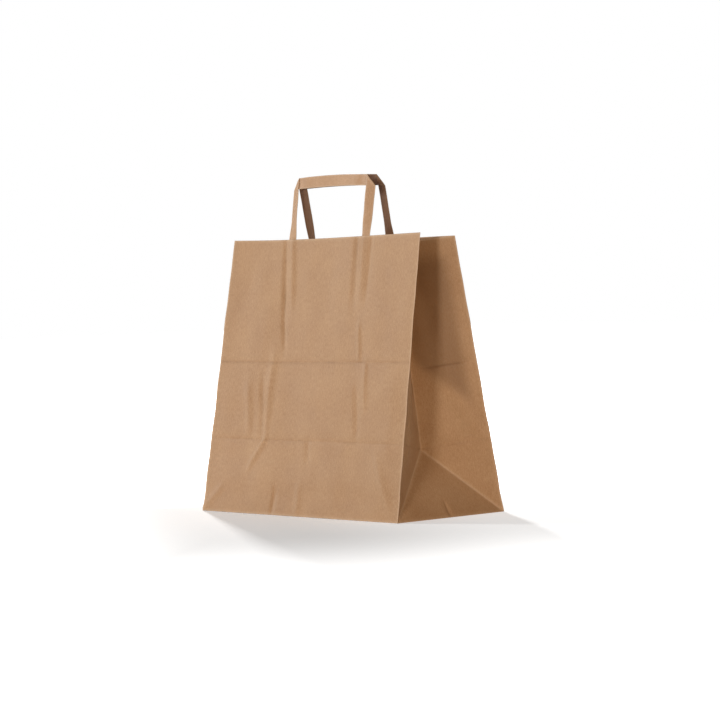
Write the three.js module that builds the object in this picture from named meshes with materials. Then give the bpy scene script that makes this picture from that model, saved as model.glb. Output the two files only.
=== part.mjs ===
// A paper carrier bag with flat folded handles, standing open on its block bottom.
// Millimetres, +Z up. The origin is the middle of the underside, the front panel faces -Y.
//
// The bag is one folded sheet. A place on it is given by how far it lies along the panel
// and how far up the paper, and small functions carry that place to where the folded
// and leaning paper is. The handles and their patches are placed on the same panels.

import * as THREE from 'three';

// The sheet, as it is cut and folded
const bagWidth = 280;
const bagDepth = 150;
const bagHeight = 280;
const paper = 0.2;
const seamLap = 20;
const flapOverlap = 14;

// Where each rim stands: its distance from the bag's mid-plane, positive to the rear, at its
// left corner, middle and right corner, and the wave between them
const frontRim = { left: -24, middle: -21, right: -33, wave: -3.5 };
const rearRim = { left: 23, middle: 7.6, right: 15, wave: 5 };
const mouthDrawIn = 2;

// How the gussets stand off from a plain fold
const gussetTipLift = 2.2;
const gussetFoldBow = 4.5;

// The crease that is left from the folded bottom, and how far creases press in
const upperCrease = 154;
const creaseDepth = 0.6;
const creaseReach = 12;

// The handles: flat tapes of folded paper
const handleSpan = 123.2;
const legLength = 120.5;
const tapeWidth = 11.2;
const tapeThickness = 0.6;
const foldGap = 0.1;

// How each handle stands above the rim: its rise, how many degrees it falls back from the
// panel's slope, how far its legs spread and its right end sinks, and how many degrees its
// left and right legs turn towards the mid-plane
const frontStance = { rise: 62.2, fallBack: 2.5, spread: 2.2, sink: 0.9, turnLeft: 15, turnRight: 9.5 };
const rearStance = { rise: 66, fallBack: 2.2, spread: 0.8, sink: 0, turnLeft: 10, turnRight: 15 };
const turnRun = 20;
const gripArch = 1.8;
const gripBend = 10;

// The patches over the handle legs
const patchPaper = 0.2;
const patchMargin = 18;
const patchBelowRim = 8;
const patchBelowLegs = 5;
const patchStep = 1.2;

// The gap that glue fills between two sheets
const glueGap = 0.15;

// How finely the paper is divided
const panelColumns = 20;
const gussetColumns = 5;
const middleRows = 3;
const upperRows = 6;

const FRONT = -1;
const REAR = 1;
const LEFT = -1;
const RIGHT = 1;

const halfWidth = bagWidth / 2;
const halfDepth = bagDepth / 2;
const rim = { [FRONT]: frontRim, [REAR]: rearRim };
const stance = { [FRONT]: frontStance, [REAR]: rearStance };

// Panels

// The rim of a panel seen from above is a shallow bow through its two corners and its middle,
// with a slight wave between them.
function rimPlace(side, along) {
  const { left, middle, right, wave } = rim[side];
  const share = along / halfWidth;
  const bow = share * (right - left) / 2 + share ** 2 * ((left + right) / 2 - middle);
  return middle + bow + wave * (share - share ** 3);
}

// A crease presses the paper in a little, from its reach above to its reach below.
function creaseAt(up) {
  const near = (crease) => Math.max(0, 1 - Math.abs(up - crease) / creaseReach);
  return creaseDepth * (near(halfDepth) + near(upperCrease));
}

// A place on the outer face of the front or rear panel. Above the rim it runs straight on.
function panelPoint(side, along, up) {
  const lean = (side * halfDepth - rimPlace(side, along)) * side;
  const share = up / bagHeight;
  const rise = Math.sqrt(bagHeight ** 2 - lean ** 2 - mouthDrawIn ** 2);
  return new THREE.Vector3(
    along * (1 - share * mouthDrawIn / halfWidth),
    side * (halfDepth - lean * share - creaseAt(up)),
    rise * share,
  );
}

// Gussets

// The foot of a gusset is a triangle that hinges on the base edge. Its tip is where the
// centre fold and both 45 degree folds meet.
function gussetTip(hand) {
  const lean = (bagDepth + rimPlace(FRONT, hand * halfWidth) - rimPlace(REAR, hand * halfWidth)) / 2;
  const sine = lean / bagHeight;
  const height = halfDepth * (1 - sine) / Math.sqrt(1 - sine * sine) + gussetTipLift;
  const inward = Math.sqrt(halfDepth ** 2 - height ** 2);
  const mouthMiddle = (rimPlace(FRONT, hand * halfWidth) + rimPlace(REAR, hand * halfWidth)) / 2;
  return new THREE.Vector3(hand * (halfWidth - inward), mouthMiddle * height / bagHeight, height);
}

// The top of the centre fold lies half a gusset from each corner of the mouth, and the
// length of the fold from the tip.
function gussetTop(hand) {
  const front = panelPoint(FRONT, hand * halfWidth, bagHeight);
  const rear = panelPoint(REAR, hand * halfWidth, bagHeight);
  const middle = front.clone().add(rear).multiplyScalar(0.5);
  const across = rear.clone().sub(front);
  const radius = Math.sqrt(halfDepth ** 2 - across.lengthSq() / 4);
  across.normalize();
  const inward = new THREE.Vector3(0, 0, 1).cross(across).multiplyScalar(hand).normalize();
  const upward = across.clone().cross(inward).multiplyScalar(hand).normalize();
  const fromTip = middle.clone().sub(gussetTip(hand));
  const foldLength = bagHeight - halfDepth;
  const a = 2 * radius * fromTip.dot(inward);
  const b = 2 * radius * fromTip.dot(upward);
  const c = foldLength ** 2 - radius ** 2 - fromTip.lengthSq();
  const share = THREE.MathUtils.clamp(c / Math.hypot(a, b), -1, 1);
  const angle = Math.atan2(b, a) - Math.acos(share);
  return middle
    .addScaledVector(inward, radius * Math.cos(angle))
    .addScaledVector(upward, radius * Math.sin(angle));
}

// A place on the outer face of a gusset, with along counted from its front corner.
function gussetPoint(hand, along, up) {
  const tip = gussetTip(hand);
  const side = along <= halfDepth ? FRONT : REAR;
  const fromCorner = side === FRONT ? along : bagDepth - along;
  const foot = (share, place) => new THREE.Vector3(
    THREE.MathUtils.lerp(hand * halfWidth, tip.x, share),
    place + tip.y * share,
    tip.z * share,
  );
  if (up <= fromCorner) {
    return foot(up / halfDepth, along - halfDepth);
  }
  const corner = panelPoint(side, hand * halfWidth, up);
  if (up < halfDepth) {
    return corner.lerp(foot(up / halfDepth, side * (halfDepth - up)), fromCorner / up);
  }
  const share = (up - halfDepth) / (bagHeight - halfDepth);
  const fold = tip.lerp(gussetTop(hand), share);
  fold.x += hand * gussetFoldBow * Math.sin(Math.PI * share);
  return corner.lerp(fold, fromCorner / halfDepth);
}

// Solids made of points and faces

class Skin {
  constructor() {
    this.points = [];
    this.faces = [];
  }

  point(place) {
    this.points.push(place);
    return this.points.length - 1;
  }

  triangle(a, b, c) {
    this.faces.push([a, b, c]);
  }

  quad(a, b, c, d) {
    this.triangle(a, b, c);
    this.triangle(a, c, d);
  }

  geometry() {
    const geometry = new THREE.BufferGeometry();
    const positions = this.points.flatMap((place) => place.toArray());
    geometry.setAttribute('position', new THREE.Float32BufferAttribute(positions, 3));
    geometry.setIndex(this.faces.flat());
    geometry.computeVertexNormals();
    return geometry;
  }
}

function range(count, value) {
  return Array.from({ length: count }, (_, i) => value(i));
}

// The shift that moves a corner inward until it lies the wall's thickness from each face there.
function mitre(normals, thickness) {
  const sums = { xx: 1e-3, xy: 0, xz: 0, yy: 1e-3, yz: 0, zz: 1e-3 };
  const total = new THREE.Vector3();
  for (const n of normals) {
    sums.xx += n.x * n.x;
    sums.xy += n.x * n.y;
    sums.xz += n.x * n.z;
    sums.yy += n.y * n.y;
    sums.yz += n.y * n.z;
    sums.zz += n.z * n.z;
    total.addScaledVector(n, -thickness);
  }
  const matrix = new THREE.Matrix3(
    sums.xx, sums.xy, sums.xz,
    sums.xy, sums.yy, sums.yz,
    sums.xz, sums.yz, sums.zz,
  );
  return total.applyMatrix3(matrix.invert());
}

// The bag

// The heights up the paper at which it is divided. Below the gusset tip they step as the
// gusset columns do, so the 45 degree folds run from corner to corner of the grid.
function bagRows() {
  const step = halfDepth / gussetColumns;
  const lower = range(gussetColumns, (i) => i * step);
  const middle = range(middleRows, (i) => THREE.MathUtils.lerp(
    halfDepth + creaseReach, upperCrease - creaseReach, i / (middleRows - 1)));
  const upper = range(upperRows, (i) => THREE.MathUtils.lerp(
    upperCrease + creaseReach, bagHeight, i / (upperRows - 1)));
  return [...lower, halfDepth, ...middle, upperCrease, ...upper];
}

// The columns round the bag, anticlockwise from above and from the front left corner. Each
// tells where its paper lies, whether the seam lap raises it, and how its quads are split.
function bagColumns() {
  const panelStep = bagWidth / panelColumns;
  const gussetStep = halfDepth / gussetColumns;
  const lapEdge = -halfWidth + seamLap;
  const edgeRun = paper / 10;
  const panel = (side, along, raised = false) => ({
    at: (up) => panelPoint(side, along, up), raised, leftward: false,
  });
  const gusset = (hand, along) => ({
    at: (up) => gussetPoint(hand, along, up),
    raised: false,
    leftward: hand * (along - halfDepth) >= 0,
  });
  const rearPlaces = range(panelColumns, (i) => halfWidth - i * panelStep)
    .filter((along) => Math.abs(along - lapEdge) > 1)
    .map((along) => ({ along, raised: along < lapEdge }));
  rearPlaces.push({ along: lapEdge + edgeRun, raised: false }, { along: lapEdge, raised: true });
  rearPlaces.sort((a, b) => b.along - a.along);
  return [
    ...range(panelColumns, (i) => panel(FRONT, i * panelStep - halfWidth)),
    ...range(2 * gussetColumns, (i) => gusset(RIGHT, i * gussetStep)),
    ...rearPlaces.map(({ along, raised }) => panel(REAR, along, raised)),
    ...range(2 * gussetColumns, (i) => gusset(LEFT, bagDepth - i * gussetStep)),
  ];
}

// Which way each quad is split: the rows of the ring and the two triangles between columns.
function splitQuad(column, a, b, c, d) {
  return column.leftward ? [[a, b, d], [b, c, d]] : [[a, b, c], [a, c, d]];
}

// The underside shows how the bottom is folded: the front flap lies outermost, over the
// rear flap, and both lie over the ears that the gussets leave at the two ends.
function addUnderside(skin, ring, columns) {
  const crossing = halfWidth - halfDepth;
  const flapEnd = crossing - flapOverlap;
  const rearLayer = (y) => paper * (halfDepth - y) / halfDepth;
  const spot = (x, y, z) => skin.point(new THREE.Vector3(x, y, z));
  const levels = { front: () => 0, rear: rearLayer, ear: () => 2 * paper };
  const inner = {};
  for (const [layer, level] of Object.entries(levels)) {
    inner[layer] = [LEFT, RIGHT].map((hand) => spot(hand * crossing, 0, level(0)));
  }
  const flapCorners = (level) => [LEFT, RIGHT].map((hand) => spot(hand * flapEnd, flapOverlap, level));
  const frontCorners = flapCorners(0);
  const rearCorners = flapCorners(rearLayer(flapOverlap));

  const starts = [0, panelColumns, panelColumns + 2 * gussetColumns, columns.length - 2 * gussetColumns];
  const edge = (from, to) => range(to - from + 1, (i) => ring[(from + i) % ring.length]);
  const frontEdge = edge(starts[0], starts[1]);
  const rightEdge = edge(starts[1], starts[2]);
  const rearEdge = edge(starts[2], starts[3]);
  const leftEdge = edge(starts[3], ring.length);

  const fill = (outline) => {
    const flat = outline.map((id) => new THREE.Vector2(skin.points[id].x, skin.points[id].y));
    for (const [a, b, c] of THREE.ShapeUtils.triangulateShape(flat, [])) {
      skin.triangle(outline[c], outline[b], outline[a]);
    }
  };
  fill([...frontEdge, inner.front[1], frontCorners[1], frontCorners[0], inner.front[0]]);
  fill([...rearEdge, inner.rear[0], rearCorners[0], rearCorners[1], inner.rear[1]]);
  fill([...rightEdge, inner.ear[1]]);
  fill([...leftEdge, inner.ear[0]]);

  // The cut edges of the flaps, from the right end to the left
  skin.triangle(rightEdge[0], inner.front[1], inner.rear[1]);
  skin.triangle(rightEdge[0], inner.rear[1], inner.ear[1]);
  skin.triangle(rearEdge[0], inner.ear[1], inner.rear[1]);
  skin.quad(inner.front[1], frontCorners[1], rearCorners[1], inner.rear[1]);
  skin.quad(frontCorners[1], frontCorners[0], rearCorners[0], rearCorners[1]);
  skin.quad(frontCorners[0], inner.front[0], inner.rear[0], rearCorners[0]);
  skin.triangle(leftEdge[0], inner.rear[0], inner.ear[0]);
  skin.triangle(frontEdge[0], inner.ear[0], inner.rear[0]);
  skin.triangle(frontEdge[0], inner.rear[0], inner.front[0]);
}

function bagGeometry() {
  const columns = bagColumns();
  const rows = bagRows();
  const floor = 3 * paper;
  const places = rows.map((up) => columns.map((column) => column.at(up)));
  const next = (i) => (i + 1) % columns.length;

  const normals = rows.map(() => columns.map(() => []));
  for (let row = 0; row + 1 < rows.length; row += 1) {
    columns.forEach((column, i) => {
      const corners = [[row, i], [row, next(i)], [row + 1, next(i)], [row + 1, i]];
      for (const face of splitQuad(column, ...corners)) {
        const [a, b, c] = face.map(([r, k]) => places[r][k]);
        const normal = b.clone().sub(a).cross(c.clone().sub(a)).normalize();
        face.forEach(([r, k]) => normals[r][k].push(normal));
      }
    });
  }

  const skin = new Skin();
  const outer = places.map((line, row) => line.map((place, i) => {
    const lift = columns[i].raised && row > 0 ? -paper : 0;
    return skin.point(place.clone().add(mitre(normals[row][i], lift)));
  }));
  const inner = places.map((line, row) => line.map((place, i) => {
    if (row > 0) {
      return skin.point(place.clone().add(mitre(normals[row][i], paper)));
    }
    const down = new THREE.Vector3(0, 0, -paper / floor);
    const shifted = place.clone().add(mitre([...normals[row][i], down], paper));
    return skin.point(shifted.setZ(floor));
  }));

  for (let row = 0; row + 1 < rows.length; row += 1) {
    columns.forEach((column, i) => {
      const j = next(i);
      for (const [a, b, c] of splitQuad(column,
        outer[row][i], outer[row][j], outer[row + 1][j], outer[row + 1][i])) {
        skin.triangle(a, b, c);
      }
      for (const [a, b, c] of splitQuad(column,
        inner[row][i], inner[row][j], inner[row + 1][j], inner[row + 1][i])) {
        skin.triangle(c, b, a);
      }
    });
  }
  const top = rows.length - 1;
  columns.forEach((_, i) => {
    skin.quad(outer[top][i], outer[top][next(i)], inner[top][next(i)], inner[top][i]);
  });

  const ring = inner[0].map((id) => new THREE.Vector2(skin.points[id].x, skin.points[id].y));
  for (const [a, b, c] of THREE.ShapeUtils.triangulateShape(ring, [])) {
    skin.triangle(inner[0][a], inner[0][b], inner[0][c]);
  }
  addUnderside(skin, outer[0], columns);
  return skin.geometry();
}

// Handles and patches

// A place at some depth inside the outer face of a surface that a function of two sizes gives.
function below(surface, side, along, up, depth) {
  const place = surface(along, up);
  const alongStep = surface(along + 1, up).sub(place);
  const upStep = surface(along, up + 1).sub(place);
  const inward = alongStep.cross(upStep).normalize().multiplyScalar(side);
  return place.addScaledVector(inward, depth);
}

// The tape goes up from the panel, falls back a little from its slope, and its legs spread
// and turn. The grip arches, and near its ends it bends to follow the turned legs.
function handleSurface(side) {
  const { rise, fallBack, spread, sink, turnLeft, turnRight } = stance[side];
  const legInner = handleSpan / 2 - tapeWidth;
  const reach = (distance) => {
    const bent = THREE.MathUtils.clamp(distance - legInner + gripBend, 0, gripBend);
    return bent * bent / (2 * gripBend) + Math.max(0, distance - legInner);
  };
  const legMiddle = reach(legInner + tapeWidth / 2);
  return (along, up) => {
    const above = Math.max(0, up);
    const across = along / legInner;
    const lift = (gripArch * (1 - across * across) - sink * across) * above / rise;
    const place = panelPoint(side, along + spread * across * above / rise, bagHeight + up + lift);
    const slope = Math.tan(THREE.MathUtils.degToRad(fallBack));
    const rightShare = THREE.MathUtils.smoothstep(along, -legInner, legInner);
    const turn = Math.tan(THREE.MathUtils.degToRad(THREE.MathUtils.lerp(turnLeft, turnRight, rightShare)));
    const turned = THREE.MathUtils.smoothstep(up, 0, turnRun);
    place.y += side * slope * above;
    place.y -= side * turn * turned * (reach(Math.abs(along)) - legMiddle);
    return place;
  };
}

// The sections of the tape, from the foot of the right leg to the foot of the left. Each has
// two faces, and each face its place at both edges of the tape and its depth. At a fold the
// tape turns over, so its outer face on the legs is its inner face on the grip.
function tapeSections(rise) {
  const legOuter = handleSpan / 2;
  const legInner = legOuter - tapeWidth;
  const foldFoot = rise - tapeWidth;
  const outside = paper + glueGap;
  const between = outside + tapeThickness;
  const inside = between + foldGap;
  const turn = between + foldGap / 2;
  const bulge = tapeThickness + foldGap / 2;
  const run = bulge * Math.SQRT2;
  const hollow = (bulge - foldGap / 2) * Math.SQRT1_2;
  const section = (edges, depths) => depths.map((depth) => ({ edges, depth }));
  const leg = (up) => section([[legOuter, up], [legInner, up]], [outside, between]);
  const grip = (along) => section([[along, foldFoot], [along, rise]], [inside + tapeThickness, inside]);
  const right = [
    ...range(4, (i) => leg((rise - legLength) * (1 - i / 3))),
    ...range(9, (i) => leg(foldFoot * (i + 1) / 10)),
    section([[legOuter, foldFoot - run], [legInner, rise - run]], [outside, between]),
    [
      { edges: [[legOuter, foldFoot], [legInner, rise]], depth: turn },
      { edges: [[legOuter - hollow, foldFoot - hollow], [legInner - hollow, rise - hollow]], depth: turn },
    ],
    section([[legOuter - run, foldFoot], [legInner - run, rise]], [inside + tapeThickness, inside]),
    ...range(4, (i) => grip(legInner - run - gripBend * (i + 1) / 4)),
  ];
  const left = right.map((faces) => faces.map(({ edges, depth }) => (
    { edges: edges.map(([along, up]) => [-along, up]), depth })));
  return [...right, ...left.reverse()];
}

function handleGeometry(side) {
  const surface = handleSurface(side);
  const skin = new Skin();
  const rings = tapeSections(stance[side].rise).map(([first, second]) => {
    const at = ({ edges, depth }, edge) => skin.point(below(surface, side, ...edges[edge], depth));
    return [at(first, 0), at(first, 1), at(second, 1), at(second, 0)];
  });
  rings.slice(1).forEach((ring, k) => ring.forEach((id, i) => {
    const j = (i + 1) % ring.length;
    skin.quad(rings[k][i], id, ring[j], rings[k][j]);
  }));
  skin.quad(...rings[0]);
  skin.quad(...[...rings[rings.length - 1]].reverse());
  return side === FRONT ? skin.geometry() : turnedOver(skin).geometry();
}

function turnedOver(skin) {
  skin.faces = skin.faces.map(([a, b, c]) => [c, b, a]);
  return skin;
}

// A patch lies on the panel and steps over each leg.
function patchGeometry(side) {
  const legOuter = handleSpan / 2 + glueGap;
  const legInner = handleSpan / 2 - tapeWidth - glueGap;
  const edge = handleSpan / 2 + patchMargin;
  const half = [0, legInner / 2, legInner - patchStep, legInner, legOuter, legOuter + patchStep, edge];
  const places = [...half.slice(1).map((along) => -along).reverse(), ...half];
  const legFoot = bagHeight + stance[side].rise - legLength - glueGap;
  const ups = [legFoot - patchBelowLegs, legFoot - patchStep, legFoot,
    ...range(4, (i) => THREE.MathUtils.lerp(legFoot, bagHeight - patchBelowRim, (i + 1) / 4))];
  const overLeg = (along) => Math.abs(along) >= legInner && Math.abs(along) <= legOuter;
  const lowest = paper + glueGap;
  const depthAt = (along, up) => lowest + (overLeg(along) && up >= legFoot ? tapeThickness + glueGap : 0);
  const surface = (along, up) => panelPoint(side, along, up);

  const skin = new Skin();
  const grid = (extra) => ups.map((up) => places.map((along) => skin.point(
    below(surface, side, along, up, depthAt(along, up) + extra))));
  const outer = grid(0);
  const inner = grid(patchPaper);
  const last = places.length - 1;
  for (let row = 0; row + 1 < ups.length; row += 1) {
    for (let i = 0; i < last; i += 1) {
      skin.quad(outer[row][i], outer[row][i + 1], outer[row + 1][i + 1], outer[row + 1][i]);
      skin.quad(inner[row][i], inner[row + 1][i], inner[row + 1][i + 1], inner[row][i + 1]);
    }
    skin.quad(outer[row][0], outer[row + 1][0], inner[row + 1][0], inner[row][0]);
    skin.quad(outer[row][last], inner[row][last], inner[row + 1][last], outer[row + 1][last]);
  }
  const top = ups.length - 1;
  for (let i = 0; i < last; i += 1) {
    skin.quad(outer[0][i], inner[0][i], inner[0][i + 1], outer[0][i + 1]);
    skin.quad(outer[top][i], outer[top][i + 1], inner[top][i + 1], inner[top][i]);
  }
  return side === FRONT ? skin.geometry() : turnedOver(skin).geometry();
}

// The object

const kraft = new THREE.MeshStandardMaterial({ name: 'kraft', color: 0xb98f6c, roughness: 0.85, metalness: 0 });
const tape = new THREE.MeshStandardMaterial({ name: 'tape', color: 0xc39b78, roughness: 0.8, metalness: 0 });
const patch = new THREE.MeshStandardMaterial({ name: 'patch', color: 0xb48a66, roughness: 0.88, metalness: 0 });

function named(name, geometry, material) {
  const mesh = new THREE.Mesh(geometry, material);
  mesh.name = name;
  return mesh;
}

const carrier = new THREE.Group();
carrier.add(
  named('bag', bagGeometry(), kraft),
  named('front_handle', handleGeometry(FRONT), tape),
  named('rear_handle', handleGeometry(REAR), tape),
  named('front_handle_patch', patchGeometry(FRONT), patch),
  named('rear_handle_patch', patchGeometry(REAR), patch),
);

export default carrier;
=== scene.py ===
"""A kraft paper carrier bag with flat folded handles, standing open.

Every piece starts as a flat sheet, is creased along its fold lines and is then folded to
its place. Sheets are in millimetres until they are folded, and in metres after that. On a
sheet, along runs across a wall and up runs from the base edge towards the rim.
"""

import math

import bpy
from mathutils import Matrix, Vector, noise


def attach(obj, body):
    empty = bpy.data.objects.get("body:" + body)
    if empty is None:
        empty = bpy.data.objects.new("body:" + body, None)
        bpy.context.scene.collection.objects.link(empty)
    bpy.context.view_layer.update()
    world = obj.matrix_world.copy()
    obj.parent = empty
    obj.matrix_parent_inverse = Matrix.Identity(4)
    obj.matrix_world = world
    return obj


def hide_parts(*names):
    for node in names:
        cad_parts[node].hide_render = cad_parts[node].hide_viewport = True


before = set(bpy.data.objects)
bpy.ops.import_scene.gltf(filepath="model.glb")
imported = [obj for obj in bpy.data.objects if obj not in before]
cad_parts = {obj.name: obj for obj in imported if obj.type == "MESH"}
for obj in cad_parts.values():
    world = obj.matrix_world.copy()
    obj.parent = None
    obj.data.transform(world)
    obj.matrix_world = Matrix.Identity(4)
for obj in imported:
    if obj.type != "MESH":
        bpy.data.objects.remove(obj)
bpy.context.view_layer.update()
bpy.ops.object.select_all(action="DESELECT")

MM = 0.001
FRONT, REAR = -1, 1
LEFT, RIGHT = -1, 1

# The bag's sheet. Its lap is glued on the outside of the rear panel, past the left gusset.
BAG_WIDTH = 280.0
BAG_DEPTH = 150.0
BAG_HEIGHT = 280.0
HALF_WIDTH = BAG_WIDTH / 2
HALF_DEPTH = BAG_DEPTH / 2
PAPER = 0.22
LAP = 20.0
LAP_GLUE = 0.05
LAP_STEP = 1.2
FLAP_OVERLAP = 14.0
REAR_FLAP_LIFT = 0.3
EAR_LIFT = 0.55
EAR_TAPER = 0.98

# How the bag stands: the rims' distance in front of or behind the middle of the base, how
# far a panel's ends draw in at the mouth, and the shape of the fold down each gusset
RIM = {
    FRONT: {"left": -24.0, "middle": -21.0, "right": -33.0, "wave": -3.5},
    REAR: {"left": 23.0, "middle": 7.6, "right": 15.0, "wave": 5.0},
}
MOUTH_DRAW_IN = 2.0
TIP_LIFT = 2.2
FOLD_BOW = 4.5

# The handles: each leans outwards (fall), widens towards its grip (spread), drops towards
# the right end of the grip (sink), and turns on each leg (by hand). Angles are in degrees.
HANDLE_SPAN = 123.2
LEG_LENGTH = 120.5
TAPE_WIDTH = 11.2
TAPE_THICKNESS = 0.52
LEG_OUTER = HANDLE_SPAN / 2
LEG_INNER = LEG_OUTER - TAPE_WIDTH
STANCE = {
    FRONT: {"rise": 62.2, "fall": 2.5, "spread": 2.2, "sink": 0.9, LEFT: 15.0, RIGHT: 9.5},
    REAR: {"rise": 66.0, "fall": 2.2, "spread": 0.8, "sink": 0.0, LEFT: 10.0, RIGHT: 15.0},
}
TURN_RUN = 20.0
GRIP_ARCH = 1.8
GRIP_BEND = 10.0

# Depths of the middles of the tape's two layers below a panel's outer face
LEG_MIDDLE_DEPTH = 0.65
GRIP_MIDDLE_DEPTH = 1.35
TURN_RADIUS = (GRIP_MIDDLE_DEPTH - LEG_MIDDLE_DEPTH) / 2
HALF_TURN = math.pi * TURN_RADIUS / 2

# The patches: their depths below a panel's outer face, and where they step over a leg,
# counted from its edge and from its foot
PATCH_DEPTH = 0.36
PATCH_OVER_LEG_DEPTH = 1.08
PATCH_PAPER = 0.2
PATCH_MARGIN = 18.0
PATCH_BELOW_RIM = 8.0
PATCH_BELOW_LEGS = 5.0
EDGE_STEP_START, EDGE_STEP_MIDDLE, EDGE_STEP_END = 2.2, 1.4, 0.3
FOOT_STEP_START, FOOT_STEP_MIDDLE, FOOT_STEP_END = 2.4, 1.3, 0.3

# The creases that the flat-packed bottom leaves across every wall, how fast the paper
# comes back beside them, and the shallow hollows on both sides of the upper one
LOWER_CREASE = HALF_DEPTH
UPPER_CREASE = 154.0
LOWER_CREASE_DEPTH, LOWER_CREASE_RUN = 0.8, 2.4
UPPER_CREASE_DEPTH, UPPER_CREASE_RUN = 1.1, 2.6
HOLLOW_DEPTH, HOLLOW_FROM_CREASE, HOLLOW_WIDTH = 0.35, 9.0, 7.0
CREASE_WANDER = 0.8

# Relief of the panels. It calms down towards the corner folds and the base.
PANEL_CALM_EDGE, PANEL_CALM_FOOT = 26.0, 18.0
WAVE_HEIGHT, WAVE_SIZE, WAVE_STRETCH = 1.6, 46.0, 0.45
FINE_WAVE_HEIGHT, FINE_WAVE_SIZE, FINE_WAVE_STRETCH = 0.35, 17.0, 0.5
BULGE_HEIGHT, BULGE_UP, BULGE_WIDTH = 0.9, 115.0, 30.0
BELLY_HEIGHT, BELLY_UP, BELLY_WIDTH = 0.8, 38.0, 22.0
SWAY_HEIGHT, SWAY_SIZE, SWAY_FOOT, SWAY_TOP = 0.9, 30.0, 25.0, (225.0, 275.0)
EDGE_CREASE_SHARE = 0.35
MARK_SHARE = {FRONT: 3.5, REAR: 1.3}

# Relief of the gussets. It calms down towards the corners, the base and the middle fold.
GUSSET_CALM_EDGE, GUSSET_CALM_FOOT, GUSSET_CALM_FOLD = 16.0, 12.0, 14.0
GUSSET_WAVE_HEIGHT, GUSSET_WAVE_SIZE, GUSSET_WAVE_STRETCH = 1.0, 38.0, 0.6
GUSSET_FOOT_SHARE = 0.6
GUSSET_TRIANGLE_SHARE = 0.5
GUSSET_MARK_SHARE, GUSSET_MARK_EDGE = 1.5, 8.0

# Relief of the handles
TAPE_SWAY_HEIGHT, TAPE_SWAY_SIZE, TAPE_SWAY_RUN = 0.35, 16.0, (4.0, 20.0)

# Creases and dents in the paper. Each runs between two places on a wall and has a depth,
# outwards if positive, and a width.
FRONT_MARKS = [
    ((-66.0, 280), (-57.0, 218), -0.45, 3.0),
    ((-55.0, 280), (-46.0, 218), 0.5, 4.0),
    ((44.0, 280), (47.0, 219), -0.5, 4.5),
    ((54.0, 280), (57.0, 220), 0.45, 5.0),
    ((66.0, 280), (66.0, 222), -0.35, 3.0),
    ((-59.8, 226), (-50.0, 172), -0.5, 2.6),
    ((60.5, 190), (64.7, 160), 0.45, 2.6),
    ((-62.6, 153), (-60.7, 79), 0.5, 5.0),
    ((-73.3, 132), (-64.0, 80), -0.45, 4.0),
    ((-93.4, 128), (-85.6, 84), 0.4, 4.0),
    ((65.9, 126), (71.9, 82), -0.45, 4.0),
    ((75.0, 152), (80.6, 112), 0.4, 3.5),
    ((-60.0, 75), (-77.5, 48), 0.6, 3.0),
    ((2.2, 75), (5.3, 56), -0.4, 2.4),
    ((-35.8, 25), (-38.1, 3), -0.45, 2.8),
    ((-1.9, 31), (-1.4, 2), 0.35, 3.2),
    ((-138.8, 3), (-115.4, 26), 0.35, 3.0),
    ((104.0, 60), (128.0, 12), 0.4, 4.0),
]
REAR_MARKS = [
    ((-58.0, 280), (-54.0, 220), 0.45, 4.0),
    ((-47.0, 280), (-44.0, 220), -0.45, 3.4),
    ((49.0, 280), (47.0, 219), -0.45, 3.6),
    ((60.0, 280), (58.0, 222), 0.45, 4.0),
    ((-30.0, 150), (-34.0, 84), 0.45, 4.5),
    ((36.0, 146), (27.0, 92), -0.45, 4.0),
    ((92.0, 132), (97.0, 80), 0.4, 4.0),
    ((-96.0, 72), (-112.0, 40), 0.5, 3.2),
    ((18.0, 40), (22.0, 4), -0.6, 2.8),
    ((138.0, 3), (112.0, 28), 0.6, 2.6),
    ((-10.0, 214), (-4.0, 170), -0.3, 3.4),
]
PANEL_MARKS = {FRONT: FRONT_MARKS, REAR: REAR_MARKS}
GUSSET_MARKS = {
    RIGHT: [
        ((112.0, 150), (142.0, 84), -1.5, 7.0),
        ((100.0, 128), (128.0, 80), 0.8, 6.0),
        ((124.0, 92), (131.0, 88), -1.3, 4.0),
        ((100.0, 78), (112.0, 72), -0.9, 2.2),
        ((74.8, 15), (75.2, 3), -0.8, 2.0),
        ((96.0, 250), (112.0, 160), -1.2, 11.0),
        ((30.0, 130), (18.0, 66), 0.8, 6.0),
    ],
    LEFT: [
        ((34.0, 148), (14.0, 88), -1.2, 6.0),
        ((46.0, 100), (30.0, 82), 0.8, 5.0),
        ((112.0, 160), (128.0, 96), -1.1, 6.0),
        ((74.0, 14), (75.0, 3), -0.7, 2.0),
        ((50.0, 240), (40.0, 170), -1.0, 10.0),
    ],
}

# A crease fades in between these shares of its length, and out again in the same way
MARK_FADE_START, MARK_FADE_END = -0.3, 0.2

# How far the paper is rubbed pale along a line, and the width of the rubbed strip
RUBBED_CORNER = (0.9, 1.4)
RUBBED_BASE = (0.7, 1.6)
RUBBED_RIM = (0.8, 1.4)
RUBBED_GUSSET_FOLD = (0.6, 1.5)
RUBBED_TRIANGLE = (0.7, 2.2)
RUBBED_TAPE_EDGE = (0.8, 0.6)
RUBBED_TAPE_FOLD = (1.0, 1.2)
RUBBED_PATCH_EDGE = (0.6, 0.8)

# The same for how dark the shade painted along the two bottom creases is, which comes and goes
# along them
CREASE_SHADE_UPPER = (0.45, 1.3)
CREASE_SHADE_LOWER = (0.3, 1.2)
CREASE_SHADE_TONE, CREASE_SHADE_STEADY, CREASE_SHADE_PATCHY = 0.6, 0.6, 1.1

# Where shade is painted into the paper of a gusset's rear half: its lower end falls towards the
# rear corner
PAINTED_GUSSET_SHADE = 0.75
PAINTED_SHADE_FOOT, PAINTED_SHADE_FOOT_FALL, PAINTED_SHADE_FOOT_WANDER = 168.0, 62.0, 8.0
PAINTED_SHADE_FOOT_FADE = (-12.0, 6.0)
PAINTED_SHADE_TOP_FADE = (252.0, 272.0)
PAINTED_SHADE_FOLD_FADE = (0.0, 0.12)
PAINTED_SHADE_CORNER_FADE = (0.7, 0.92)


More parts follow.
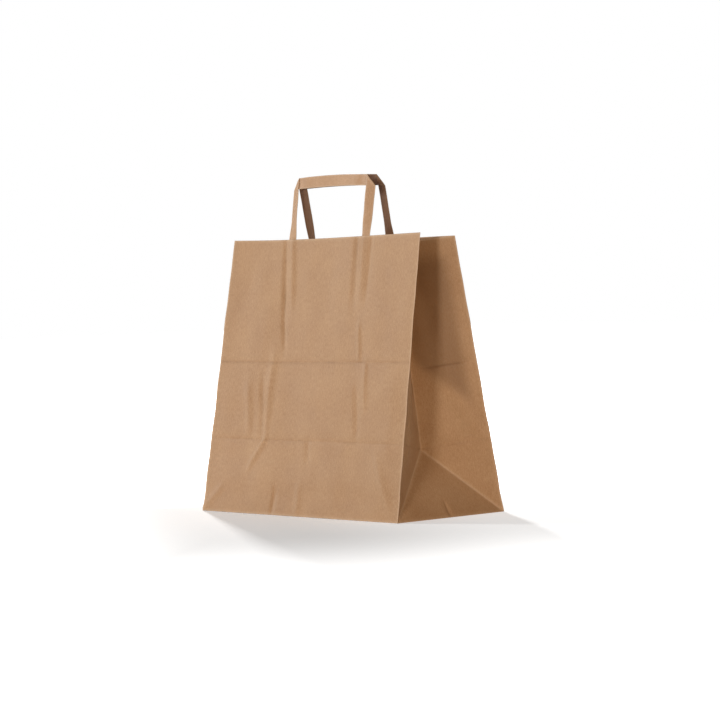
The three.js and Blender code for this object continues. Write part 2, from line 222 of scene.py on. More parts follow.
def smoothstep(low, high, value):
    t = min(1.0, max(0.0, (value - low) / (high - low)))
    return t * t * (3 - 2 * t)


def bell(distance, width):
    """1 at no distance, and almost nothing past twice the width."""
    return math.exp(-(distance / width) ** 2)


def strip(distance, amount, width):
    return amount * bell(distance, width)


def ripple(x, y, size, seed):
    """Slow waves in paper that has been handled, from -1 to 1."""
    return noise.noise(Vector((x / size, y / size, seed)))


def mark(place, start, end, depth, width):
    """How far one crease moves the paper at a place: it fades at both of its ends."""
    (px, py), (ax, ay), (bx, by) = place, start, end
    dx, dy = bx - ax, by - ay
    length = math.hypot(dx, dy)
    t = ((px - ax) * dx + (py - ay) * dy) / length ** 2
    if t < MARK_FADE_START or t > 1 - MARK_FADE_START:
        return 0.0
    aside = ((px - ax) * dy - (py - ay) * dx) / length
    if abs(aside) > 3 * width:
        return 0.0
    fade = smoothstep(MARK_FADE_START, MARK_FADE_END, t)
    fade *= 1 - smoothstep(1 - MARK_FADE_END, 1 - MARK_FADE_START, t)
    return depth * fade * bell(aside, width)


def bottom_creases(along, up, share=1.0):
    """The two creases that the flat-packed bottom leaves across every wall."""
    wander = CREASE_WANDER * ripple(along, 0, size=60, seed=3.1)
    low = abs(up - LOWER_CREASE - wander)
    high = abs(up - UPPER_CREASE - wander)
    depth = LOWER_CREASE_DEPTH * math.exp(-low / LOWER_CREASE_RUN)
    depth += UPPER_CREASE_DEPTH * math.exp(-high / UPPER_CREASE_RUN)
    depth += HOLLOW_DEPTH * bell(high - HOLLOW_FROM_CREASE, HOLLOW_WIDTH)
    return -share * depth


# The folded walls


def panel_relief(side, along, up):
    """How far the paper of a panel stands out from its plain bowed shape."""
    calm = smoothstep(0, PANEL_CALM_EDGE, HALF_WIDTH - abs(along))
    calm *= smoothstep(0, PANEL_CALM_FOOT, up)
    waves = WAVE_HEIGHT * ripple(along, up * WAVE_STRETCH, WAVE_SIZE, seed=1.7 * side)
    waves += FINE_WAVE_HEIGHT * ripple(along, up * FINE_WAVE_STRETCH, FINE_WAVE_SIZE, seed=5 + side)
    swell = BULGE_HEIGHT * bell(up - BULGE_UP, BULGE_WIDTH)
    swell += BELLY_HEIGHT * bell(up - BELLY_UP, BELLY_WIDTH)
    sway = SWAY_HEIGHT * ripple(3.3 * side, up, SWAY_SIZE, seed=6.0)
    sway *= smoothstep(0, SWAY_FOOT, up) * (1 - smoothstep(*SWAY_TOP, up))
    creases = bottom_creases(along, up, EDGE_CREASE_SHARE + (1 - EDGE_CREASE_SHARE) * calm)
    marks = MARK_SHARE[side] * sum(mark((along, up), *m) for m in PANEL_MARKS[side])
    return calm * (waves + swell) + sway + creases + marks


def rim_place(side, along):
    """How far a rim lies behind the middle of the base."""
    edge = RIM[side]
    share = along / HALF_WIDTH
    bow = share * (edge["right"] - edge["left"]) / 2
    bow += share ** 2 * ((edge["left"] + edge["right"]) / 2 - edge["middle"])
    return edge["middle"] + bow + edge["wave"] * (share - share ** 3)


def plain_panel(side, along, up):
    lean = (side * HALF_DEPTH - rim_place(side, along)) * side
    share = up / BAG_HEIGHT
    rise = math.sqrt(BAG_HEIGHT ** 2 - lean ** 2 - MOUTH_DRAW_IN ** 2)
    return Vector((
        along * (1 - share * MOUTH_DRAW_IN / HALF_WIDTH),
        side * (HALF_DEPTH - lean * share),
        rise * share,
    ))


def panel(side, along, up):
    """A place on a panel's outer face, which runs straight on above the rim."""
    place = plain_panel(side, along, up)
    place.y += side * panel_relief(side, along, min(max(up, 0), BAG_HEIGHT))
    return place


def gusset_tip(hand):
    """The foot of the fold down a gusset's middle, where it meets the folded triangle."""
    front = rim_place(FRONT, hand * HALF_WIDTH)
    rear = rim_place(REAR, hand * HALF_WIDTH)
    sine = (BAG_DEPTH + front - rear) / 2 / BAG_HEIGHT
    height = HALF_DEPTH * (1 - sine) / math.sqrt(1 - sine ** 2) + TIP_LIFT
    inward = math.sqrt(HALF_DEPTH ** 2 - height ** 2)
    middle = (front + rear) / 2
    return Vector((hand * (HALF_WIDTH - inward), middle * height / BAG_HEIGHT, height))


def gusset_top(hand):
    """The top of that fold: as far from both rim corners, and from its foot, as on the sheet."""
    front = plain_panel(FRONT, hand * HALF_WIDTH, BAG_HEIGHT)
    rear = plain_panel(REAR, hand * HALF_WIDTH, BAG_HEIGHT)
    middle = (front + rear) / 2
    across = rear - front
    radius = math.sqrt(HALF_DEPTH ** 2 - across.length_squared / 4)
    across.normalize()
    inward = (Vector((0, 0, 1)).cross(across) * hand).normalized()
    upward = (across.cross(inward) * hand).normalized()
    from_tip = middle - gusset_tip(hand)
    fold_length = BAG_HEIGHT - HALF_DEPTH
    a = 2 * radius * from_tip.dot(inward)
    b = 2 * radius * from_tip.dot(upward)
    c = fold_length ** 2 - radius ** 2 - from_tip.length_squared
    angle = math.atan2(b, a) - math.acos(min(1, max(-1, c / math.hypot(a, b))))
    return middle + inward * (radius * math.cos(angle)) + upward * (radius * math.sin(angle))


TIPS = {hand: gusset_tip(hand) for hand in (LEFT, RIGHT)}
TOPS = {hand: gusset_top(hand) for hand in (LEFT, RIGHT)}


def plain_gusset(hand, along, up):
    tip = TIPS[hand]
    side = FRONT if along <= HALF_DEPTH else REAR
    from_corner = along if side == FRONT else BAG_DEPTH - along

    def on_triangle(share, place):
        x = hand * HALF_WIDTH + (tip.x - hand * HALF_WIDTH) * share
        return Vector((x, place + tip.y * share, tip.z * share))

    if up <= from_corner:
        return on_triangle(up / HALF_DEPTH, along - HALF_DEPTH)
    corner = panel(side, hand * HALF_WIDTH, up)
    if up < HALF_DEPTH:
        fold = on_triangle(up / HALF_DEPTH, side * (HALF_DEPTH - up))
        return corner.lerp(fold, from_corner / up)
    share = (up - HALF_DEPTH) / (BAG_HEIGHT - HALF_DEPTH)
    fold = tip.lerp(TOPS[hand], share)
    fold.x += hand * FOLD_BOW * math.sin(math.pi * share)
    return corner.lerp(fold, from_corner / HALF_DEPTH)


def gusset(hand, along, up):
    """A place on a gusset's outer face, with along counted from its front corner."""
    ahead, behind = min(along + 1, BAG_DEPTH), max(along - 1, 0)
    along_step = plain_gusset(hand, ahead, up) - plain_gusset(hand, behind, up)
    up_step = plain_gusset(hand, along, up + 1) - plain_gusset(hand, along, max(up - 1, 0))
    outward = along_step.cross(up_step).normalized() * hand
    from_corner = min(along, BAG_DEPTH - along)
    raised = GUSSET_WAVE_HEIGHT * ripple(
        along, up * GUSSET_WAVE_STRETCH, GUSSET_WAVE_SIZE, seed=9.0 + hand)
    if up > from_corner:
        raised += bottom_creases(along, up)
    else:
        raised *= GUSSET_TRIANGLE_SHARE
    if up > HALF_DEPTH:
        raised *= smoothstep(0, GUSSET_CALM_FOLD, abs(along - HALF_DEPTH))
    else:
        raised *= GUSSET_FOOT_SHARE
    raised *= smoothstep(0, GUSSET_CALM_EDGE, from_corner) * smoothstep(0, GUSSET_CALM_FOOT, up)
    marks = GUSSET_MARK_SHARE * sum(mark((along, up), *m) for m in GUSSET_MARKS[hand])
    raised += marks * smoothstep(0, GUSSET_MARK_EDGE, from_corner)
    return plain_gusset(hand, along, up) + outward * raised


# The fold lines across the bag's sheet, which runs from the lap over the left gusset, the
# front panel, the right gusset and the rear panel
LEFT_START = 0.0
FRONT_START = BAG_DEPTH
RIGHT_START = FRONT_START + BAG_WIDTH
REAR_START = RIGHT_START + BAG_DEPTH
SHEET_END = REAR_START + BAG_WIDTH


def flap_place(side, along, down):
    """A place on a bottom flap, by how far it lies past the base edge."""
    z = 0.0 if side == FRONT else REAR_FLAP_LIFT * down / HALF_DEPTH
    return Vector((along / HALF_WIDTH * (HALF_WIDTH - down), side * (HALF_DEPTH - down), z))


def ear_place(hand, along, down):
    """A place on an ear, which is folded in over the flaps and narrows almost to a point."""
    half = HALF_DEPTH - EAR_TAPER * down
    y = (along - HALF_DEPTH) / HALF_DEPTH * half
    return Vector((hand * (HALF_WIDTH - down), y, EAR_LIFT * down / HALF_DEPTH))


def fold_bag(s, up):
    """Where a place on the flat sheet of the bag lies once the bag is folded."""
    if s < LEFT_START:
        outward = Vector((0, PAPER + LAP_GLUE, 0)) * smoothstep(0, LAP_STEP, LEFT_START - s)
        return panel(REAR, -HALF_WIDTH - s, up) + outward
    if s < FRONT_START:
        along = FRONT_START - s
        return gusset(LEFT, along, up) if up >= 0 else ear_place(LEFT, along, -up)
    if s <= RIGHT_START:
        along = s - FRONT_START - HALF_WIDTH
        return panel(FRONT, along, up) if up >= 0 else flap_place(FRONT, along, -up)
    if s < REAR_START:
        along = s - RIGHT_START
        return gusset(RIGHT, along, up) if up >= 0 else ear_place(RIGHT, along, -up)
    along = REAR_START + HALF_WIDTH - s
    return panel(REAR, along, up) if up >= 0 else flap_place(REAR, along, -up)


# Sheets


def spaced(start, end, step):
    """Places from start to end, nearly a step apart, with more beside both ends."""
    count = max(1, round((end - start) / step))
    places = [start + (end - start) * i / count for i in range(count + 1)]
    return places + [start + 0.7, start + 2.0, end - 2.0, end - 0.7]


def merged(*runs):
    return sorted({round(p, 4) for run in runs for p in run})


def flat_sheet(name, columns, rows):
    """A flat sheet in millimetres, divided at the given columns and rows."""
    bpy.ops.mesh.primitive_grid_add(
        x_subdivisions=len(columns) - 1, y_subdivisions=len(rows) - 1, size=1)
    sheet = bpy.context.object
    sheet.name = name
    sheet.data.name = name
    for v in sheet.data.vertices:
        i = round((v.co.x + 0.5) * (len(columns) - 1))
        j = round((v.co.y + 0.5) * (len(rows) - 1))
        v.co = (columns[i], rows[j], 0)
    return sheet


def select_faces(sheet, wanted):
    bpy.ops.object.mode_set(mode="EDIT")
    bpy.ops.mesh.select_mode(type="FACE")
    bpy.ops.mesh.select_all(action="DESELECT")
    bpy.ops.object.mode_set(mode="OBJECT")
    for face in sheet.data.polygons:
        face.select = bool(wanted(face.center))
    bpy.ops.object.mode_set(mode="EDIT")


def crease(sheet, through, across, wanted):
    """Divides the wanted faces of a flat sheet along a line."""
    select_faces(sheet, wanted)
    bpy.ops.mesh.bisect(plane_co=(*through, 0), plane_no=(*across, 0))
    bpy.ops.object.mode_set(mode="OBJECT")


def cut_away(sheet, unwanted):
    select_faces(sheet, unwanted)
    bpy.ops.mesh.delete(type="FACE")
    bpy.ops.object.mode_set(mode="OBJECT")


def weld(distance):
    """Joins corners of the active flat sheet that nearly coincide."""
    bpy.ops.object.mode_set(mode="EDIT")
    bpy.ops.mesh.select_all(action="SELECT")
    bpy.ops.mesh.remove_doubles(threshold=distance)
    bpy.ops.object.mode_set(mode="OBJECT")


def keep_flat_places(sheet):
    """Stores each corner's place on the flat sheet, in metres, as the sheet's UV map."""
    layer = sheet.data.uv_layers.active or sheet.data.uv_layers.new()
    layer.name = "flat"
    for loop in sheet.data.loops:
        co = sheet.data.vertices[loop.vertex_index].co
        layer.data[loop.index].uv = (co.x * MM, co.y * MM)


def keep_wear_and_shade(sheet, wear_and_shade):
    """Stores how worn the paper is at each place, and where shade is painted in: rubbed pale above
    0, and painted shade below it.
    """
    layer = sheet.data.attributes.new("wear_and_shade", "FLOAT", "POINT")
    for i, v in enumerate(sheet.data.vertices):
        layer.data[i].value = wear_and_shade(v.co.x, v.co.y)


def fold(sheet, place):
    """Moves a flat sheet in millimetres to its folded places in metres."""
    for v in sheet.data.vertices:
        v.co = place(v.co.x, v.co.y) * MM
    sheet.data.update()


def select_only(piece):
    bpy.ops.object.select_all(action="DESELECT")
    piece.select_set(True)
    bpy.context.view_layer.objects.active = piece


def thicken(sheet, thickness, offset):
    """Gives a sheet its thickness: behind its face at offset -1, before it at 1."""
    solid = sheet.modifiers.new("thickness", "SOLIDIFY")
    solid.thickness = thickness * MM
    solid.offset = offset
    select_only(sheet)
    bpy.ops.object.modifier_apply(modifier=solid.name)
    bpy.ops.object.shade_smooth()


def face_outwards(piece):
    select_only(piece)
    bpy.ops.object.mode_set(mode="EDIT")
    bpy.ops.mesh.select_all(action="SELECT")
    bpy.ops.mesh.normals_make_consistent(inside=False)
    bpy.ops.object.mode_set(mode="OBJECT")


# The bag

WELD_DISTANCE = 0.03
COARSE, FINE, GUSSET_STEP = 2.8, 1.5, 3.75
LOWER_STEP, UPPER_STEP = 4.4, 4.0
PATCH_HALF = LEG_OUTER + PATCH_MARGIN
PATCH_ZONE_START = 40.0

# Each slanting fold of a gusset is a line of the sheet, with another on both sides of it
GUSSET_CREASE_SHIFTS = (-2.0, 0.0, 2.0)
LAP_COLUMNS = [-LAP, 0.7 - LAP, -16, -12, -8, -4, -2, -1.2, -0.6]
BOTTOM_ROWS = [
    -HALF_DEPTH - FLAP_OVERLAP, -HALF_DEPTH - FLAP_OVERLAP / 2, -HALF_DEPTH, -60, -45, -30, -15, -5]

# A panel is divided more finely behind the patches, which follow the same lines
PANEL_COLUMNS = merged(
    spaced(-HALF_WIDTH, -PATCH_HALF, COARSE),
    spaced(-PATCH_HALF, -PATCH_ZONE_START, FINE),
    spaced(-PATCH_ZONE_START, PATCH_ZONE_START, COARSE),
    spaced(PATCH_ZONE_START, PATCH_HALF, FINE),
    spaced(PATCH_HALF, HALF_WIDTH, COARSE),
)
UPPER_ROWS = spaced(UPPER_CREASE, BAG_HEIGHT, UPPER_STEP)


def gusset_painted_shade(s, up):
    """How much shade is painted into the paper of a gusset, on its rear half above the block
    bottom.
    """
    along = s - RIGHT_START if s > RIGHT_START else FRONT_START - s
    if not HALF_DEPTH < along < BAG_DEPTH:
        return 0.0
    share = (along - HALF_DEPTH) / HALF_DEPTH
    foot = PAINTED_SHADE_FOOT - PAINTED_SHADE_FOOT_FALL * share
    foot += PAINTED_SHADE_FOOT_WANDER * ripple(along, up, size=30, seed=4.4)
    tone = smoothstep(*PAINTED_SHADE_FOOT_FADE, up - foot) * (1 - smoothstep(*PAINTED_SHADE_TOP_FADE, up))
    return tone * smoothstep(*PAINTED_SHADE_FOLD_FADE, share) * (1 - smoothstep(*PAINTED_SHADE_CORNER_FADE, share))


def bag_wear_and_shade(s, up):
    corners = (LEFT_START, FRONT_START, RIGHT_START, REAR_START, SHEET_END)
    rubbed = [
        strip(min(abs(s - corner) for corner in corners), *RUBBED_CORNER),
        strip(up, *RUBBED_BASE),
        strip(BAG_HEIGHT - up, *RUBBED_RIM),
    ]
    for start in (LEFT_START, RIGHT_START):
        if start < s < start + BAG_DEPTH:
            from_middle = abs(s - start - HALF_DEPTH)
            if up > HALF_DEPTH:
                rubbed.append(strip(from_middle, *RUBBED_GUSSET_FOLD))
            elif up > 0:
                rubbed.append(strip(HALF_DEPTH - from_middle - up, *RUBBED_TRIANGLE))
    # Painted shade along the two bottom creases, patchy along them
    crease_shade = max(
        strip(up - UPPER_CREASE, *CREASE_SHADE_UPPER), strip(up - LOWER_CREASE, *CREASE_SHADE_LOWER))
    crease_shade *= CREASE_SHADE_STEADY + CREASE_SHADE_PATCHY * ripple(s, up, size=17, seed=2.5)
    # Painted shade in the gussets' rear halves is taken off the rubbed wear here
    return max(rubbed) - CREASE_SHADE_TONE * crease_shade - PAINTED_GUSSET_SHADE * gusset_painted_shade(s, up)


def in_gusset(place, start):
    return start < place.x < start + BAG_DEPTH


def make_bag():
    """The bag's sheet, creased along the slanting folds at the foot of each gusset."""
    columns = merged(
        LAP_COLUMNS,
        spaced(LEFT_START, LEFT_START + HALF_DEPTH, GUSSET_STEP),
        spaced(LEFT_START + HALF_DEPTH, FRONT_START, GUSSET_STEP),
        [FRONT_START + HALF_WIDTH + along for along in PANEL_COLUMNS],
        spaced(RIGHT_START, RIGHT_START + HALF_DEPTH, GUSSET_STEP),
        spaced(RIGHT_START + HALF_DEPTH, REAR_START, GUSSET_STEP),
        [REAR_START + HALF_WIDTH + along for along in PANEL_COLUMNS],
    )
    rows = merged(
        BOTTOM_ROWS,
        spaced(0, LOWER_CREASE, GUSSET_STEP),
        spaced(LOWER_CREASE, UPPER_CREASE, LOWER_STEP),
        UPPER_ROWS,
    )
    bag = flat_sheet("kraft_bag", columns, rows)
    for start in (LEFT_START, RIGHT_START):
        for shift in GUSSET_CREASE_SHIFTS:
            for corner, slope in ((start, -1), (start + BAG_DEPTH, 1)):
                crease(bag, (corner + shift, 0), (1, slope),
                       lambda c: in_gusset(c, start) and 0 < c.y < HALF_DEPTH)
    weld(WELD_DISTANCE)
    cut_away(bag, lambda c: c.x < LEFT_START and c.y < 0)
    cut_away(bag, lambda c: c.y < -HALF_DEPTH and (
        in_gusset(c, LEFT_START) or in_gusset(c, RIGHT_START)))
    keep_flat_places(bag)
    keep_wear_and_shade(bag, bag_wear_and_shade)
    fold(bag, fold_bag)
    thicken(bag, PAPER, -1)
    return bag


# The handles

TAPE_LENGTH = 2 * (LEG_INNER + LEG_LENGTH)
TAPE_STEP = 3.0
TAPE_COLUMNS = [0, 0.35, 1.4, 3.4, 5.6, 7.8, 9.8, 10.85, TAPE_WIDTH]
FOLD_FOOT = LEG_LENGTH - TAPE_WIDTH
NORMAL_STEP = 0.5


def bent(distance):
    """How far round the bend between grip and leg a place lies: 0 on the grip."""
    past = distance - LEG_INNER
    near = min(GRIP_BEND, max(0.0, past + GRIP_BEND))
    return near ** 2 / (2 * GRIP_BEND) + max(0.0, past)


def handle_place(side, along, up):
    """A place on the surface that a handle follows, which is the panel below the rim."""
    stance = STANCE[side]
    above = max(0.0, up)
    across = along / LEG_INNER
    share = above / stance["rise"]
    lift = (GRIP_ARCH * (1 - across ** 2) - stance["sink"] * across) * share
    place = panel(side, along + stance["spread"] * across * share, BAG_HEIGHT + up + lift)
    to_right = smoothstep(-LEG_INNER, LEG_INNER, along)
    turn = math.tan(math.radians(stance[LEFT] + (stance[RIGHT] - stance[LEFT]) * to_right))
    reach = bent(abs(along)) - bent(LEG_INNER + TAPE_WIDTH / 2)
    sway = TAPE_SWAY_HEIGHT * ripple(along, up, TAPE_SWAY_SIZE, seed=21 + side)
    place.y += side * math.tan(math.radians(stance["fall"])) * above
    place.y -= side * turn * smoothstep(0, TURN_RUN, up) * reach
    place.y += side * sway * smoothstep(*TAPE_SWAY_RUN, up)
    return place


def below(surface, side, along, up, depth):
    """A place at a depth behind a surface, measured along its normal."""
    step = NORMAL_STEP
    along_step = surface(side, along + step, up) - surface(side, along - step, up)
    up_step = surface(side, along, up + step) - surface(side, along, up - step)
    inward = along_step.cross(up_step).normalized() * side
    return surface(side, along, up) + inward * depth


def fold_tape(side, across, s):
    """Where a place on a flat tape lies: up a leg, over the 45 degree fold and along the grip."""
    hand = RIGHT
    if s > TAPE_LENGTH / 2:
        s = TAPE_LENGTH - s
        hand = LEFT
    past_foot = s - FOLD_FOOT
    down_fold = (across + past_foot) / 2
    past_fold = (past_foot - across) / math.sqrt(2)
    if abs(past_fold) >= HALF_TURN:
        off_fold = abs(past_fold) - HALF_TURN
        depth = LEG_MIDDLE_DEPTH if past_fold < 0 else GRIP_MIDDLE_DEPTH
    else:
        angle = math.pi * (past_fold / HALF_TURN + 1) / 2
        off_fold = -TURN_RADIUS * math.sin(angle)
        depth = (LEG_MIDDLE_DEPTH + GRIP_MIDDLE_DEPTH) / 2 - TURN_RADIUS * math.cos(angle)
    along = LEG_OUTER - down_fold - off_fold / math.sqrt(2)
    up = STANCE[side]["rise"] - TAPE_WIDTH + down_fold - off_fold / math.sqrt(2)
    return below(handle_place, side, hand * along, up, depth)


def tape_wear(across, s):
    edge = min(across, TAPE_WIDTH - across)
    from_fold = min(abs(s - FOLD_FOOT - across), abs(s - TAPE_LENGTH + FOLD_FOOT + across))
    return max(strip(edge, *RUBBED_TAPE_EDGE), strip(from_fold, *RUBBED_TAPE_FOLD))


def make_handle(side, name):
    count = round(TAPE_LENGTH / TAPE_STEP)
    tape = flat_sheet(name, TAPE_COLUMNS, [TAPE_LENGTH * i / count for i in range(count + 1)])
    for i in range(-4, 5):
        shift = HALF_TURN * math.sqrt(2) * i / 3
        crease(tape, (0, FOLD_FOOT + shift), (-1, 1), lambda c: c.y < TAPE_LENGTH / 2)
        crease(tape, (0, TAPE_LENGTH - FOLD_FOOT - shift), (1, 1),
               lambda c: c.y > TAPE_LENGTH / 2)
    weld(WELD_DISTANCE)
    keep_flat_places(tape)
    keep_wear_and_shade(tape, tape_wear)
    fold(tape, lambda across, s: fold_tape(side, across, s))
    thicken(tape, TAPE_THICKNESS, 0)
    return tape


# The patches


def patch_depth(along, up, leg_foot):
    """How deep a patch lies: it steps over the leg that it holds."""
    aside = abs(along)
    over = smoothstep(LEG_INNER - EDGE_STEP_START, LEG_INNER - EDGE_STEP_END, aside)
    over *= 1 - smoothstep(LEG_OUTER + EDGE_STEP_END, LEG_OUTER + EDGE_STEP_START, aside)
    over *= smoothstep(leg_foot - FOOT_STEP_START, leg_foot - FOOT_STEP_END, up)
    return PATCH_DEPTH + (PATCH_OVER_LEG_DEPTH - PATCH_DEPTH) * over


def make_patch(side, name):
    leg_foot = BAG_HEIGHT + STANCE[side]["rise"] - LEG_LENGTH
    foot = leg_foot - PATCH_BELOW_LEGS
    top = BAG_HEIGHT - PATCH_BELOW_RIM
    steps = (EDGE_STEP_START, EDGE_STEP_MIDDLE, EDGE_STEP_END)
    beside_leg = [LEG_INNER - step for step in steps] + [LEG_OUTER + step for step in steps]
    columns = merged(
        [along for along in PANEL_COLUMNS if abs(along) <= PATCH_HALF],
        beside_leg,
        [-along for along in beside_leg],
    )
    rows = merged(
        [foot, top],
        [leg_foot - step for step in (FOOT_STEP_START, FOOT_STEP_MIDDLE, FOOT_STEP_END)],
        [up for up in UPPER_ROWS if foot < up < top],
    )
    patch = flat_sheet(name, columns, rows)
    keep_flat_places(patch)
    keep_wear_and_shade(patch, lambda along, up: strip(
        min(PATCH_HALF - abs(along), top - up), *RUBBED_PATCH_EDGE))
    fold(patch, lambda along, up: below(
        panel, side, along, up, patch_depth(along, up, leg_foot)))
    thicken(patch, PATCH_PAPER, side)
    return patch


# Materials

WHITE = (1, 1, 1, 1)
NOISE_LOW, NOISE_HIGH = 0.3, 0.7


class Nodes:
    """The nodes of a material or a world, added one at a time."""

    def __init__(self, owner):
        owner.use_nodes = True
        self.tree = owner.node_tree
        self.tree.nodes.clear()

    def node(self, kind, inputs, **settings):
        made = self.tree.nodes.new("ShaderNode" + kind)
        for key, value in settings.items():
            setattr(made, key, value)
        for key, value in inputs.items():
            if isinstance(value, bpy.types.NodeSocket):
                self.tree.links.new(value, made.inputs[key])
            else:
                made.inputs[key].default_value = value
        return made

    def source(self, kind, output, **settings):
        return self.node(kind, {}, **settings).outputs[output]

    def math(self, operation, a, b, clamp=False):
        return self.node("Math", {0: a, 1: b}, operation=operation, use_clamp=clamp).outputs[0]

    def sum(self, first, *others):
        for other in others:
            first = self.math("ADD", first, other)
        return first

    def times(self, value, factor, clamp=False):
        return self.math("MULTIPLY", value, factor, clamp)

    def band(self, value, low, high, to_low=0.0, to_high=1.0, ease="LINEAR"):
        """Maps low..high to to_low..to_high, and holds the ends."""
        return self.node("MapRange", {
            "Value": value, "From Min": low, "From Max": high,
            "To Min": to_low, "To Max": to_high}, interpolation_type=ease).outputs[0]

    def spread(self, value, amount):
        """A noise as a tone between -amount and amount."""
        return self.band(value, NOISE_LOW, NOISE_HIGH, -amount, amount)

    def mix(self, share, a, b):
        return self.node("Mix", {0: share, 6: a, 7: b}, data_type="RGBA").outputs[2]

    def noise(self, vector, scale, detail, rough):
        return self.node("TexNoise", {
            "Vector": vector, "Scale": scale, "Detail": detail, "Roughness": rough}).outputs[0]


def kraft_paper(name, body, pale, deep, rubbed):
    """Kraft paper: fibres up the sheet, flecks, soft mottling, pale rubbed folds, and shade painted
    dark in the creases and gussets.
    """
    material = bpy.data.materials.new(name)
    n = Nodes(material)
    flat = n.source("UVMap", 0, uv_map="flat")
    place = n.source("TexCoord", "Object")
    wear_and_shade = n.source("Attribute", "Fac", attribute_name="wear_and_shade")
    long = n.node("Mapping", {"Vector": flat, "Scale": (1.0, 0.12, 1.0)}).outputs[0]
    short = n.node("Mapping", {"Vector": flat, "Scale": (1.0, 0.3, 1.0)}).outputs[0]
    mottle = n.noise(place, scale=26, detail=3, rough=0.55)
    streaks = n.noise(long, scale=300, detail=5, rough=0.7)
    fibres = n.noise(short, scale=900, detail=2, rough=0.6)
    grain = n.noise(place, scale=1500, detail=2, rough=0.6)
    flecks = n.noise(short, scale=700, detail=1, rough=0.4)

    shade = n.sum(
        n.spread(mottle, 0.2), n.spread(streaks, 0.07),
        n.spread(fibres, 0.24), n.spread(grain, 0.22))
    colour = n.mix(n.math("ADD", shade, 0.5, clamp=True), deep, pale)
    colour = n.mix(0.25, colour, body)
    colour = n.mix(n.band(flecks, 0.72, 0.78, 0.0, 0.5), colour, deep)
    colour = n.mix(n.band(flecks, 0.28, 0.22, 0.0, 0.4), colour, pale)
    colour = n.mix(n.times(wear_and_shade, 0.75, clamp=True), colour, rubbed)
    # Painted shade: where the stored value falls below 0, a darker copy of the deep colour is mixed
    # in
    painted_shade_colour = tuple(0.6 * c for c in deep[:3]) + (1,)
    colour = n.mix(n.times(wear_and_shade, -0.8, clamp=True), colour, painted_shade_colour)

    height = n.sum(n.times(fibres, 0.5), n.times(grain, 0.35), n.times(streaks, 0.3))
    bump = n.node("Bump", {"Strength": 0.25, "Distance": 0.0002, "Height": height}).outputs[0]
    rough = n.band(mottle, NOISE_LOW, NOISE_HIGH, 0.62, 0.72)
    surface = n.node("BsdfPrincipled", {
        "Base Color": colour, "Roughness": rough, "Specular IOR Level": 0.35, "Normal": bump})
    n.node("OutputMaterial", {0: surface.outputs[0]})
    return material


BAG_PAPER = kraft_paper(
    "kraft_bag_paper",
    body=(0.46, 0.27, 0.135, 1), pale=(0.56, 0.355, 0.205, 1),
    deep=(0.35, 0.18, 0.078, 1), rubbed=(0.66, 0.47, 0.31, 1))
TAPE_PAPER = kraft_paper(
    "handle_tape_paper",
    body=(0.5, 0.3, 0.165, 1), pale=(0.6, 0.385, 0.235, 1),
    deep=(0.38, 0.2, 0.09, 1), rubbed=(0.68, 0.49, 0.33, 1))
# The rear handle's tape is a shaded copy of the tape paper: its shade is painted into the colour
SHADED_REAR_TAPE_PAPER = kraft_paper(
    "rear_tape_painted_shade_paper",
    body=(0.145, 0.062, 0.024, 1), pale=(0.2, 0.095, 0.04, 1),
    deep=(0.1, 0.04, 0.014, 1), rubbed=(0.27, 0.15, 0.07, 1))
PATCH_SHEET = kraft_paper(
    "handle_patch_paper",
    body=(0.44, 0.26, 0.13, 1), pale=(0.54, 0.335, 0.19, 1),
    deep=(0.36, 0.19, 0.085, 1), rubbed=(0.64, 0.46, 0.3, 1))


def finish_piece(piece, paper, slot, *nodes):
    face_outwards(piece)
    piece.data.materials.clear()
    piece.data.materials.append(paper)
    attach(piece, "root")
    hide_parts(*nodes)


finish_piece(make_bag(), BAG_PAPER, "kraft_bag", "bag")
finish_piece(make_handle(FRONT, "front_tape_handle"), TAPE_PAPER, "handle_tape", "front_handle")
finish_piece(make_handle(REAR, "rear_tape_handle"), SHADED_REAR_TAPE_PAPER, "handle_tape", "rear_handle")
finish_piece(make_patch(FRONT, "front_patch"), PATCH_SHEET, "handle_patch", "front_handle_patch")
finish_piece(make_patch(REAR, "rear_patch"), PATCH_SHEET, "handle_patch", "rear_handle_patch")


# The floor, the lamps and the camera, in metres

FLOOR_SIZE = 14
FLOOR_HEIGHT = -0.0002
FLOOR_COLOUR = (0.8, 0.8, 0.8, 1)

# Directions over the floor: away from the back lamp, as its shadow falls, and across that
AWAY = (0.83, -0.56, 0)
ASIDE = (0.56, 0.83, 0)

# To the camera the floor glows a little, more on one side of the bag, and most where it
# fades to white past the shadow
GLOW_IN_SHADOW = 0.26
GLOW_ASIDE = 0.3
GLOW_WHITE = 0.9

WORLD_LIGHT, WORLD_SEEN = 0.12, 1.0

CAMERA_PLACE = (1.9978234, -1.9524388, 0.2398003)
CAMERA_TURN, CAMERA_RISE, CAMERA_ROLL = 45.39888, 1.80664, -1.30872
CAMERA_LENS = 139.0514
CAMERA_SENSOR = 36


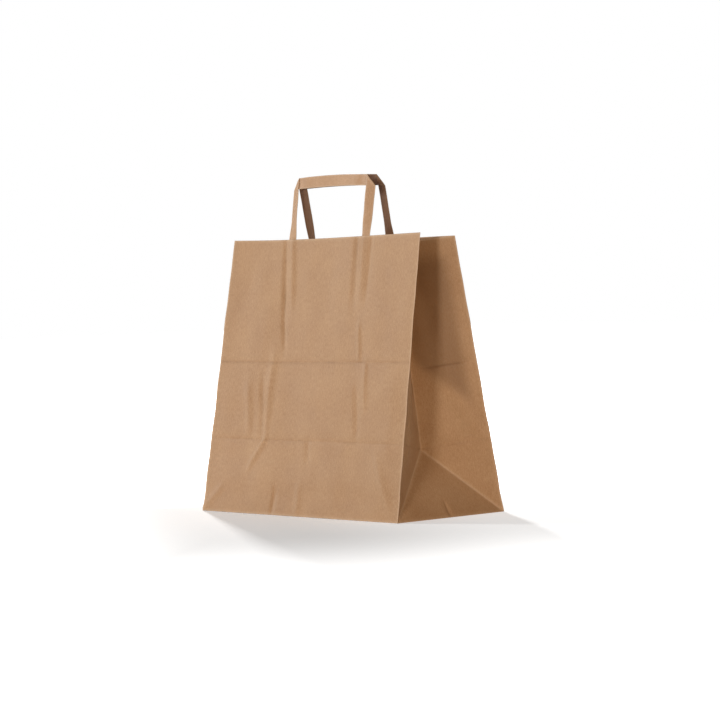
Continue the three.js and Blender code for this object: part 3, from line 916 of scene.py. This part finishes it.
def white_floor():
    bpy.ops.mesh.primitive_plane_add(size=FLOOR_SIZE, location=(0, 0, 0))
    floor = bpy.context.object
    for v in floor.data.vertices:
        v.co.z = FLOOR_HEIGHT
    floor.name = "studio_floor"
    material = bpy.data.materials.new("studio_floor_white")
    n = Nodes(material)
    seen = n.source("LightPath", "Is Camera Ray")
    place = n.source("TexCoord", "Object")
    away, aside = (
        n.node("VectorMath", {0: place, 1: way}, operation="DOT_PRODUCT").outputs["Value"]
        for way in (AWAY, ASIDE))
    white = n.band(away, 0.22, 0.8, ease="SMOOTHSTEP")
    for way, start, end in ((away, -0.11, -0.17), (aside, 0.18, 0.3), (aside, -0.16, -0.4)):
        white = n.math("MAXIMUM", white, n.band(way, start, end, ease="SMOOTHSTEP"))
    glow = n.sum(
        n.times(white, GLOW_WHITE), GLOW_IN_SHADOW,
        n.times(n.band(aside, -0.1, 0.14, ease="SMOOTHSTEP"), GLOW_ASIDE))
    matt = n.node("BsdfDiffuse", {"Color": FLOOR_COLOUR})
    shine = n.node("Emission", {"Color": WHITE, "Strength": n.times(seen, glow)})
    both = n.node("AddShader", {0: matt.outputs[0], 1: shine.outputs[0]})
    n.node("OutputMaterial", {0: both.outputs[0]})
    floor.data.materials.append(material)
    return floor


def soft_lamp(name, place, aim, size, power, colour=(1, 1, 1)):
    data = bpy.data.lights.new(name, "AREA")
    data.shape = "SQUARE"
    data.size = size
    data.energy = power
    data.color = colour
    lamp = bpy.data.objects.new(name, data)
    bpy.context.scene.collection.objects.link(lamp)
    lamp.location = place
    lamp.rotation_euler = (Vector(aim) - Vector(place)).to_track_quat("-Z", "Y").to_euler()


def white_world():
    """A faint light from all round, behind which the camera sees white."""
    world = bpy.data.worlds.new("studio_world")
    n = Nodes(world)
    strength = n.band(n.source("LightPath", "Is Camera Ray"), 0.0, 1.0, WORLD_LIGHT, WORLD_SEEN)
    white = n.node("Background", {"Color": WHITE, "Strength": strength})
    n.node("OutputWorld", {0: white.outputs[0]})
    return world


def photo_camera():
    """The camera that the photo was taken with, turned about Z, then raised, then rolled."""
    turn, rise, roll = (math.radians(a) for a in (CAMERA_TURN, CAMERA_RISE, CAMERA_ROLL))
    back = Vector((
        math.sin(turn) * math.cos(rise), -math.cos(turn) * math.cos(rise), math.sin(rise)))
    right = (-back).cross(Vector((0, 0, 1))).normalized()
    up = right.cross(-back)
    tilted_right = math.cos(roll) * right + math.sin(roll) * up
    tilted_up = -math.sin(roll) * right + math.cos(roll) * up
    data = bpy.data.cameras.new("photo_camera")
    data.lens = CAMERA_LENS
    data.sensor_width = CAMERA_SENSOR
    data.clip_end = 100
    camera = bpy.data.objects.new("photo_camera", data)
    bpy.context.scene.collection.objects.link(camera)
    turned = Matrix((tilted_right, tilted_up, back)).transposed().to_4x4()
    camera.matrix_world = Matrix.Translation(CAMERA_PLACE) @ turned
    return camera


white_floor()
soft_lamp("key_lamp", (-3.3, -1.75, 1.25), aim=(0, 0, 0.16), size=0.6, power=88)
soft_lamp("front_lamp", (1.28, -3.0, 0.46), aim=(0, 0, 0.14), size=0.4, power=35)
soft_lamp("side_lamp", (3.0, -1.1, 0.35), aim=(0, 0, 0.14), size=1.0, power=32,
          colour=(1.0, 0.68, 0.38))
soft_lamp("back_lamp", (-2.35, 1.6, 1.15), aim=(0, 0, 0.1), size=0.2, power=107)
bpy.context.scene.world = white_world()
bpy.context.scene.camera = photo_camera()
bpy.context.scene.view_settings.view_transform = "Standard"
